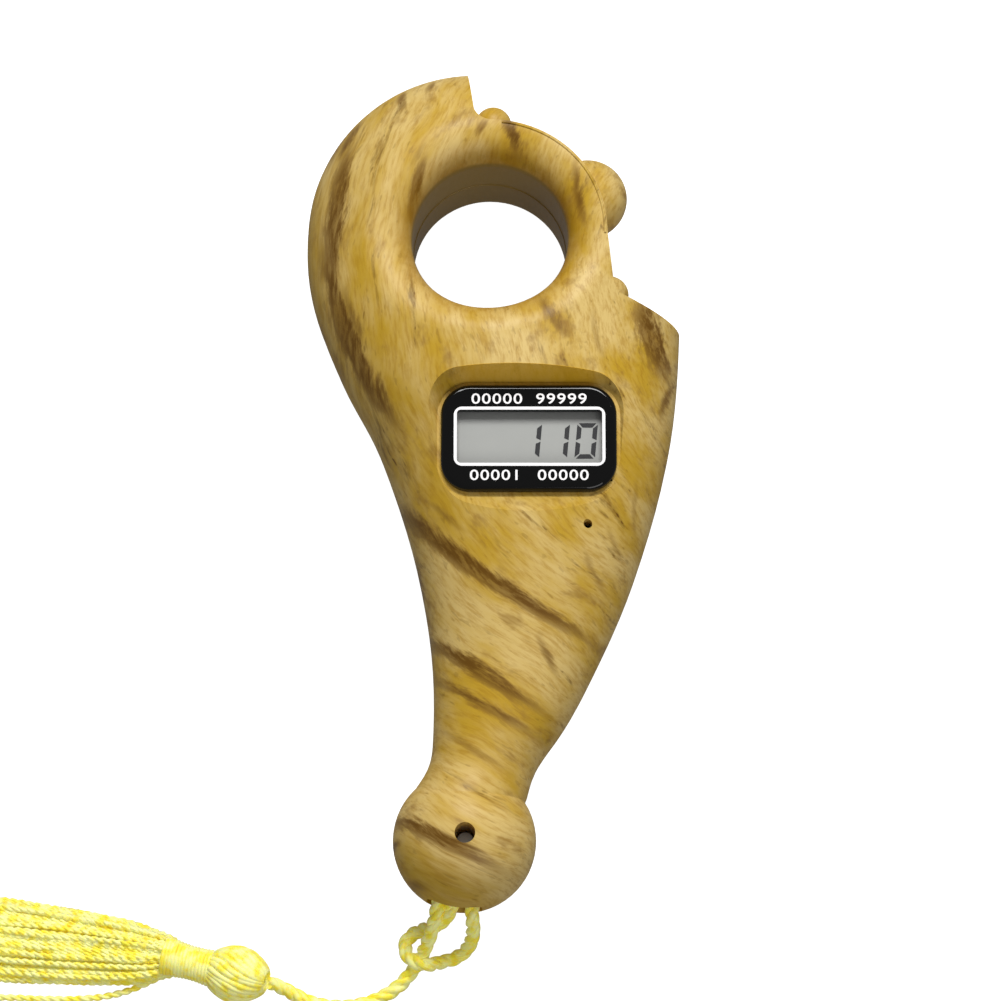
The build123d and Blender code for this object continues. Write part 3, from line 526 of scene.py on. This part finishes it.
def smooth_line(points, resolution=12):
    """Points along one NURBS spline through a route's control points."""
    line = bpy.data.curves.new("route", "CURVE")
    line.dimensions = "3D"
    line.resolution_u = resolution
    spline = line.splines.new("NURBS")
    spline.points.add(len(points) - 1)
    for slot, point in zip(spline.points, points):
        slot.co = (*point, 1.0)
    spline.order_u = 3
    spline.use_endpoint_u = True
    holder = bpy.data.objects.new("route", line)
    mesh = bpy.data.meshes.new_from_object(holder)
    places = [v.co.copy() for v in mesh.vertices]
    bpy.data.objects.remove(holder)
    bpy.data.meshes.remove(mesh)
    return places


def frames(line):
    """A tangent and two crossways directions at each point, carried along without twisting."""
    result = []
    side = None
    for index in range(len(line)):
        ahead = line[min(index + 1, len(line) - 1)] - line[max(index - 1, 0)]
        ahead.normalize()
        if side is None:
            side = ahead.orthogonal().normalized()
        side = (side - ahead * side.dot(ahead)).normalized()
        result.append((ahead, side, ahead.cross(side)))
    return result


def distances(line):
    """How far along a line each of its points lies."""
    total = [0.0]
    for before, after in zip(line, line[1:]):
        total.append(total[-1] + (after - before).length)
    return total


def wound_lines(line, count, offset, lay, phase=0.0):
    """The centre lines of strands that wind round a line."""
    far = distances(line)
    across = frames(line)
    strands = []
    for strand in range(count):
        turned = phase + strand * math.tau / count
        centre = []
        for point, (_, side, up), s in zip(line, across, far):
            angle = turned + s / lay * math.tau
            centre.append(point + (side * math.cos(angle) + up * math.sin(angle)) * offset)
        strands.append(centre)
    return strands


TAPER = 0.75                 # a tapered thread's ends, to its middle


def yarn_mesh(name, lines, radius, sides=8, taper=False):
    """Round threads along poly lines, as one mesh with a UV map."""
    curve = bpy.data.curves.new(name, "CURVE")
    curve.dimensions = "3D"
    curve.bevel_depth = radius
    curve.bevel_resolution = max(0, sides // 2 - 2)
    curve.use_fill_caps = True
    for line in lines:
        spline = curve.splines.new("POLY")
        spline.points.add(len(line) - 1)
        for slot, point in zip(spline.points, line):
            slot.co = (*point, 1.0)
        if taper:
            spline.points[0].radius = spline.points[-1].radius = TAPER
    holder = bpy.data.objects.new(name, curve)
    mesh = bpy.data.meshes.new_from_object(holder)
    bpy.data.objects.remove(holder)
    return mesh


def crossways(axis):
    """Two directions square to an axis."""
    side = axis.orthogonal().normalized()
    return side, axis.cross(side)


def make_cord(material):
    """Three-strand cord laid along the route."""
    route = smooth_line(route_points())
    lines = wound_lines(route, STRANDS, (CORD_D / 2 - STRAND_R) * MM, STRAND_LAY * MM)
    cord = piece("cord", yarn_mesh("cord", lines, STRAND_R * MM), material)
    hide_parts("cord_tail", "cord_loop", "cord_end", "cord_knot")
    return cord, route


# knob: yarns in each layer and how far out they lie, steps along a yarn, its radius, its slant
KNOB_LAYERS = ((26, 3.35), (15, 2.9))
KNOB_STEPS = 24
KNOB_YARN_R = 0.46
KNOB_SLANT = 0.9


def make_tassel_head(material):
    """Bulb of yarn gathered lengthways over itself, from the cord's hole to the neck."""
    centre = Vector(TASSEL_HEAD) * MM
    axis = (Vector(TASSEL_NECK[0]) * MM - centre).normalized()
    side, up = crossways(axis)
    dice = random.Random(SEED)
    lines = []
    for count, radius in KNOB_LAYERS:
        for k in range(count):
            around = (k + dice.uniform(-0.2, 0.2)) / count * math.tau
            line = []
            for step in range(KNOB_STEPS + 1):
                t = step / KNOB_STEPS
                swell = math.sin(math.pi * (0.06 + 0.80 * t)) ** 0.62
                along = (-0.93 + 1.93 * t) * TASSEL_HEAD_R
                angle = around + KNOB_SLANT * t + 0.05 * math.sin(6 * t + k)
                reach = radius * swell * (1 + 0.02 * math.sin(9 * t + 2 * k))
                out = side * math.cos(angle) + up * math.sin(angle)
                line.append(centre + axis * (along * MM) + out * (reach * MM))
            lines.append(line)
    head = piece("tassel_knob", yarn_mesh("tassel_knob", lines, KNOB_YARN_R * MM, taper=True), material)
    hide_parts("tassel_head")
    return head


WINDING_TURNS = 15
WINDING_STEPS = 20           # points in each turn
WINDING_R = 0.27
CORE_R = 2.0


def make_tassel_winding(material):
    """Close winding of thin thread round the neck."""
    start, end = metres(TASSEL_NECK)
    side, up = crossways((end - start).normalized())
    steps = WINDING_TURNS * WINDING_STEPS
    line = []
    for step in range(steps + 1):
        t = step / steps
        angle = t * WINDING_TURNS * math.tau
        waist = 2.30 - 0.30 * math.sin(math.pi * min(1.0, t * 1.15)) + 0.10 * t
        line.append(start.lerp(end, t) + (side * math.cos(angle) + up * math.sin(angle)) * (waist * MM))
    winding = piece("tassel_winding", yarn_mesh("tassel_winding", [line], WINDING_R * MM), material)
    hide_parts("tassel_binding")
    return winding


def make_tassel_core(material):
    """Gathered threads inside the winding, as one round bar."""
    start, end = metres(TASSEL_NECK)
    form = bmesh.new()
    ring = bmesh.ops.create_circle(form, segments=24, radius=CORE_R * MM, cap_ends=True)["verts"]
    turn = (end - start).normalized().to_track_quat("Z", "Y").to_matrix().to_4x4()
    bmesh.ops.transform(form, matrix=Matrix.Translation(start) @ turn, verts=ring)
    raise_faces(form, end - start)
    return piece("tassel_core", from_bmesh("tassel_core", form), material)


SKIRT_THREADS = 96
SKIRT_STEPS = 9              # runs in a thread's route
SKIRT_LENGTH = (39.0, 41.8)
SKIRT_TUCK = 1.6             # how far the threads reach up into the winding
PLY_R = 0.27
PLY_ASIDE = 0.21
PLY_LAY = 2.3


def make_tassel_skirt(material):
    """Twisted threads that fan out from the neck and lie on the floor."""
    dice = random.Random(SEED + 1)
    lines = []
    start = Vector(TASSEL_NECK[1])
    for k in range(SKIRT_THREADS):
        spread = (k + 0.5) / SKIRT_THREADS * 2 - 1 + dice.uniform(-0.03, 0.03)
        level = dice.random()
        wave = dice.uniform(0.15, 0.5)
        phase = dice.uniform(0, math.tau)
        length = dice.uniform(*SKIRT_LENGTH)
        control = []
        for step in range(SKIRT_STEPS + 1):
            t = step / SKIRT_STEPS
            fan = 2.2 + 3.9 * t ** 0.38
            x = start.x + SKIRT_TUCK - (length + SKIRT_TUCK) * t
            middle = start.y + 4.4 * t
            y = middle + spread * fan + wave * math.sin(4.2 * t * math.pi + phase) * t
            thick = max(0.0, 1 - spread * spread) ** 0.5
            top = (4.3 - 1.9 * t ** 0.7) * (0.35 + 0.65 * thick)
            low = 0.55 + (1 - t) ** 3 * 0.4
            z = low + (top - low) * level * (0.9 + 0.1 * math.sin(3 * t + phase))
            control.append(Vector((x, y, z)) * MM)
        lines += wound_lines(smooth_line(control, 9), 2, PLY_ASIDE * MM, PLY_LAY * MM, phase)
    skirt = piece("tassel_threads", yarn_mesh("tassel_threads", lines, PLY_R * MM, sides=5), material)
    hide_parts("tassel_skirt")
    return skirt


def make_loose_thread(material):
    """The winding's loose end, lying beside the skirt."""
    control = metres([(-42.6, -64.6, 1.6), (-45.0, -65.6, 0.9), (-48.5, -67.2, 0.6), (-52.5, -68.1, 0.6),
                      (-58.0, -68.3, 0.6), (-64.0, -68.0, 0.6), (-70.0, -67.9, 0.6), (-75.0, -67.4, 0.6)])
    lines = wound_lines(smooth_line(control, 16), 2, 0.22 * MM, 2.6 * MM)
    thread = yarn_mesh("tassel_loose_thread", lines, 0.28 * MM, sides=6)
    return piece("tassel_loose_thread", thread, material)


# ---------------------------------------------------------------- display

PRINT_T = 0.03               # thickness of the white print
FRAME_LINE_W = 0.42
FRAME_LINE_R = 1.1           # its outer corners
SUNK = 0.01                  # how far print goes into what it lies on

MARK_SIZE = 2.0
MARK_BOLD = 0.018            # how far a mark's outline is swelled
MARK_SPACING = 1.12
MARK_MAX_STRETCH = 1.25
# generic figures on the plate: name, figures, middle, width
MARKS = [("low_mark", "00000", (0.6, 8.95), 7.0), ("high_mark", "99999", (9.2, 8.95), 8.2),
         ("step_mark", "00001", (0.4, -1.55), 7.0), ("zero_mark", "00000", (9.4, -1.55), 7.0)]

DIGIT_H = 4.9
DIGIT_W = 2.75
DIGIT_PITCH = 3.72
DIGIT_INSET = 0.95           # from the window's right and lower edges
DIGIT_T = 0.02
SEGMENT_T = 0.62
SEGMENT_GAP = 0.10
SEGMENT_MITRE = 0.45         # how far a bar's inner corner is cut back, in bar widths
SLANT = 0.09
READING = "110"
LIT = {"0": "abcdef", "1": "bc"}


def slab(outline, low, high):
    """Upright plate of a flat outline in millimetres, as a bmesh."""
    form = bmesh.new()
    corners = [form.verts.new(Vector((x, y, low)) * MM) for x, y in outline]
    form.faces.new(corners)
    raise_faces(form, Vector((0, 0, (high - low) * MM)))
    return form


def rounded(width, height, radius, centre, steps=6):
    """Points of a rounded rectangle."""
    points = []
    for corner, (sx, sy) in enumerate(((1, 1), (-1, 1), (-1, -1), (1, -1))):
        for k in range(steps + 1):
            angle = math.radians(90 * corner + 90 * k / steps)
            points.append((centre[0] + sx * (width / 2 - radius) + radius * math.cos(angle),
                           centre[1] + sy * (height / 2 - radius) + radius * math.sin(angle)))
    return points


def make_frame_line(material):
    """White line printed round the window."""
    form = bmesh.new()
    outer = rounded(WINDOW_W + 2 * FRAME_LINE_W, WINDOW_H + 2 * FRAME_LINE_W, FRAME_LINE_R, WINDOW)
    inner = rounded(WINDOW_W + 0.02, WINDOW_H + 0.02, 0.5, WINDOW)
    loops = []
    for outline in (outer, inner):
        verts = [form.verts.new(Vector((x, y, PLATE_TOP - SUNK)) * MM) for x, y in outline]
        loops += [form.edges.new((a, b)) for a, b in zip(verts, verts[1:] + verts[:1])]
    bmesh.ops.bridge_loops(form, edges=loops)
    raise_faces(form, Vector((0, 0, (PRINT_T + SUNK) * MM)))
    return piece("window_frame_print", from_bmesh("window_frame_print", form), material,
                 smooth=False)


def make_marks(material):
    """Generic white figures above and below the window."""
    for name, figures, (x, y), width in MARKS:
        text = bpy.data.curves.new(name, "FONT")
        text.body = figures
        text.align_x = "CENTER"
        text.align_y = "CENTER"
        text.size = MARK_SIZE * MM
        text.offset = MARK_BOLD * MM
        text.extrude = PRINT_T * MM / 2
        text.space_character = MARK_SPACING
        holder = bpy.data.objects.new(name, text)
        mesh = bpy.data.meshes.new_from_object(holder)
        bpy.data.objects.remove(holder)
        wide = max(v.co.x for v in mesh.vertices) - min(v.co.x for v in mesh.vertices)
        grow = min(MARK_MAX_STRETCH, width * MM / wide)
        mesh.transform(Matrix.Translation(Vector((x, y, PLATE_TOP + PRINT_T / 2)) * MM)
                       @ Matrix.Diagonal((grow, 1.0, 1.0, 1.0)))
        piece(name, mesh, material, smooth=False)


def segment_outline(kind):
    """Six-sided bar of a seven-segment figure, about the figure's lower left corner."""
    t = SEGMENT_T
    gap = SEGMENT_GAP
    half = DIGIT_H / 2
    if kind in "adg":
        y = {"a": DIGIT_H, "g": half + t / 2, "d": t}[kind]
        low = y - t
        if kind == "g":
            return [(gap + t * 0.5, y - t / 2), (gap + t, y), (DIGIT_W - gap - t, y),
                    (DIGIT_W - gap - t * 0.5, y - t / 2), (DIGIT_W - gap - t, low), (gap + t, low)]
        wide, narrow = (y, low) if kind == "a" else (low, y)
        return [(2 * gap, wide), (DIGIT_W - 2 * gap, wide), (DIGIT_W - gap - t, narrow), (gap + t, narrow)]
    x = 0.0 if kind in "ef" else DIGIT_W
    inward = t if kind in "ef" else -t
    low, high = (half + gap, DIGIT_H - gap) if kind in "bf" else (gap, half - gap)
    cut = t * SEGMENT_MITRE
    outer_low, inner_low = (low, low + cut) if kind in "bf" else (low + gap, low + t)
    outer_high, inner_high = (high - gap, high - t) if kind in "bf" else (high, high - cut)
    return [(x, outer_low), (x, outer_high), (x + inward, inner_high), (x + inward, inner_low)]


def make_digits(material):
    """The count on the display, as thin bars on top of the front glass."""
    base = WINDOW[1] - WINDOW_H / 2 + DIGIT_INSET
    right = WINDOW[0] + WINDOW_W / 2 - DIGIT_INSET - DIGIT_W
    for place, figure in enumerate(reversed(READING)):
        left = right - place * DIGIT_PITCH
        whole = bmesh.new()
        for kind in LIT[figure]:
            outline = [(left + x + y * SLANT, base + y) for x, y in segment_outline(kind)]
            bar = slab(outline, LCD_TOP, LCD_TOP + DIGIT_T)
            mesh = bpy.data.meshes.new("bar")
            bar.to_mesh(mesh)
            bar.free()
            whole.from_mesh(mesh)
            bpy.data.meshes.remove(mesh)
        piece("digit_" + str(place + 1), from_bmesh("digit", whole), material, smooth=False)


RIDGE_R = 0.16
RIDGE_SUNK = 0.04            # how far its middle lies inside the wall


def make_bore_ridge(material):
    """Fine moulding ridge where the two shells meet inside the finger hole."""
    form = bmesh.new()
    ring = bmesh.ops.create_circle(form, segments=8, radius=RIDGE_R * MM)["verts"]
    start = Matrix.Translation(Vector((BORE[0] + BORE_R + RIDGE_SUNK, BORE[1], SEAM_Z)) * MM)
    bmesh.ops.transform(form, matrix=start @ Matrix.Rotation(math.radians(90), 4, "X"), verts=ring)
    bmesh.ops.spin(form, geom=form.edges[:], cent=Vector((*BORE, SEAM_Z)) * MM, axis=(0, 0, 1),
                   angle=math.tau, steps=96, use_merge=True)
    bmesh.ops.remove_doubles(form, verts=form.verts, dist=0.001 * MM)
    return piece("bore_parting_ridge", from_bmesh("bore_parting_ridge", form), material)


def make_track_bead(material):
    """Fine raised line along the ring's edge over the button track, lying on the front shell."""
    shell = frame["nodes"]["front_shell"]
    reach = TRACK_R - BEAD_IN
    line = []
    for step in range(TRACK_STEPS + 1):
        turn = math.radians(TRACK_FROM + (TRACK_TO - TRACK_FROM) * step / TRACK_STEPS)
        above = Vector((BORE[0] + reach * math.cos(turn), BORE[1] + reach * math.sin(turn), ABOVE_ALL))
        hit, place, _, _ = shell.ray_cast(above * MM, Vector((0, 0, -1)))
        if hit:
            line.append(place)
    return piece("track_edge_bead", yarn_mesh("track_edge_bead", [line], BEAD_R * MM), material)


# ---------------------------------------------------------------- stage, light and camera

def make_stage():
    """Pale floor that only the camera sees, and only from above, so that it hides and shades nothing."""
    form = bmesh.new()
    bmesh.ops.create_grid(form, x_segments=2, y_segments=2, size=FLOOR_REACH)
    bmesh.ops.translate(form, vec=(0, 0, -FLOOR_DROP * MM), verts=form.verts)
    floor = bpy.data.objects.new("floor", from_bmesh("floor", form))
    bpy.context.scene.collection.objects.link(floor)
    paper = Finish("floor_paper", Base_Color=(0.42, 0.42, 0.42), Roughness=0.9, Specular_IOR_Level=0.0,
                   Emission_Strength=1.0)
    by_camera = paper.node("ShaderNodeLightPath", {})
    from_below = paper.node("ShaderNodeNewGeometry", {}, out=6)
    paper.set(Emission_Color=paper.mix(by_camera, (0.0, 0.0, 0.0), (1.0, 1.0, 1.0)),
              Alpha=by_camera * (1 - from_below))
    floor.data.materials.append(paper.material)
    if floor.data.polygons[0].normal.z < 0:
        floor.data.flip_normals()


def area_light(name, place, size, power):
    """Soft light that faces the origin."""
    lamp = bpy.data.lights.new(name, "AREA")
    lamp.shape = "RECTANGLE"
    lamp.size, lamp.size_y = size
    lamp.energy = power
    holder = bpy.data.objects.new(name, lamp)
    holder.location = place
    holder.rotation_euler = (-Vector(place)).to_track_quat("-Z", "Y").to_euler()
    bpy.context.scene.collection.objects.link(holder)


def make_light():
    """White surroundings, a soft key from behind the ring and a weak fill from the front."""
    world = bpy.data.worlds.new("studio")
    world.use_nodes = True
    back = world.node_tree.nodes["Background"].inputs
    back["Color"].default_value = (1.0, 1.0, 1.0, 1.0)
    back["Strength"].default_value = WORLD_STRENGTH
    bpy.context.scene.world = world
    area_light("key", (0.04, 0.56, 0.70), (0.45, 0.30), 8.0)
    area_light("fill", (0.30, -0.60, 0.62), (0.50, 0.40), 2.0)


def make_camera():
    """Long lens above the counter, tilted towards its lower end."""
    lens = bpy.data.cameras.new("camera")
    lens.lens = CAMERA_LENS
    lens.sensor_width = 36.0
    lens.clip_start = 0.01
    holder = bpy.data.objects.new("camera", lens)
    tilt = math.radians(CAMERA_TILT)
    away = Vector((0, -math.sin(tilt), math.cos(tilt))) * CAMERA_AWAY
    holder.location = (Vector(AIM) + away) * MM
    holder.rotation_euler = (tilt, 0, 0)
    bpy.context.scene.collection.objects.link(holder)
    bpy.context.scene.camera = holder


def dress_nodes(finishes):
    """Gives every CAD node the finish of its slot in the record."""
    for entry in frame["record"]["subparts"]:
        node = frame["nodes"][entry["node"]]
        finish = finishes[entry["material_slot"]]
        if not node.material_slots:
            node.data.materials.append(finish)
        for slot in node.material_slots:
            slot.material = finish


make_camera()
make_stage()
make_light()

cord_silk = silk("cord_silk", 2.0, 60.0)
thread_silk = silk("thread_silk", 1.0, 40.0)
white = printed_white("white_print")

wood = wood_print("wood_print")
dress_nodes({
    "wood_print": wood,
    "wood_print_button": wood_print("wood_print_button", bold=0.4, casing=False),
    "seal_rubber": plain("seal_rubber", (0.02, 0.02, 0.02), 0.7),
    "cell_steel": brushed("cell_steel", (0.72, 0.72, 0.70), 0.22),
    "contact_metal": brushed("contact_metal", (0.75, 0.73, 0.68), 0.25),
    "display_black": black_gloss("display_black"),
    "window_clear": clear("window_clear", (0.03, 0.03, 0.03), 0.05),
    "lcd_glass": display_cell("lcd_glass"),
    "reflector_film": reflector("reflector_film"),
    "contact_elastomer": plain("contact_elastomer", (0.40, 0.28, 0.26), 0.6),
    "board_green": board("board_green"),
    "black_resin": plain("black_resin", (0.012, 0.012, 0.012), 0.35),
    "sounder_brass": brushed("sounder_brass", (0.75, 0.55, 0.22), 0.25),
    "ceramic_white": plain("ceramic_white", (0.78, 0.78, 0.74), 0.4),
    "flex_amber": plain("flex_amber", (0.45, 0.20, 0.03), 0.3),
    "switch_black": plain("switch_black", (0.02, 0.02, 0.02), 0.45),
    "switch_grey": plain("switch_grey", (0.42, 0.42, 0.40), 0.4),
    "screw_steel": brushed("screw_steel", (0.62, 0.62, 0.60), 0.28),
    "yellow_cord": cord_silk,
    "yellow_thread": thread_silk,
})

cord, cord_route = make_cord(cord_silk)
knob = make_tassel_head(thread_silk)
winding = make_tassel_winding(thread_silk)
core = make_tassel_core(thread_silk)
skirt = make_tassel_skirt(thread_silk)
loose_thread = make_loose_thread(thread_silk)

make_frame_line(white)
make_marks(white)
make_digits(liquid_crystal("liquid_crystal"))
make_track_bead(wood)
# the ridge takes the bore's olive, darkened as painted shade
make_bore_ridge(plain("bore_plastic", OLIVE_AND_PAINTED_SHADE, 0.35))

bpy.context.scene.view_settings.view_transform = "Standard"
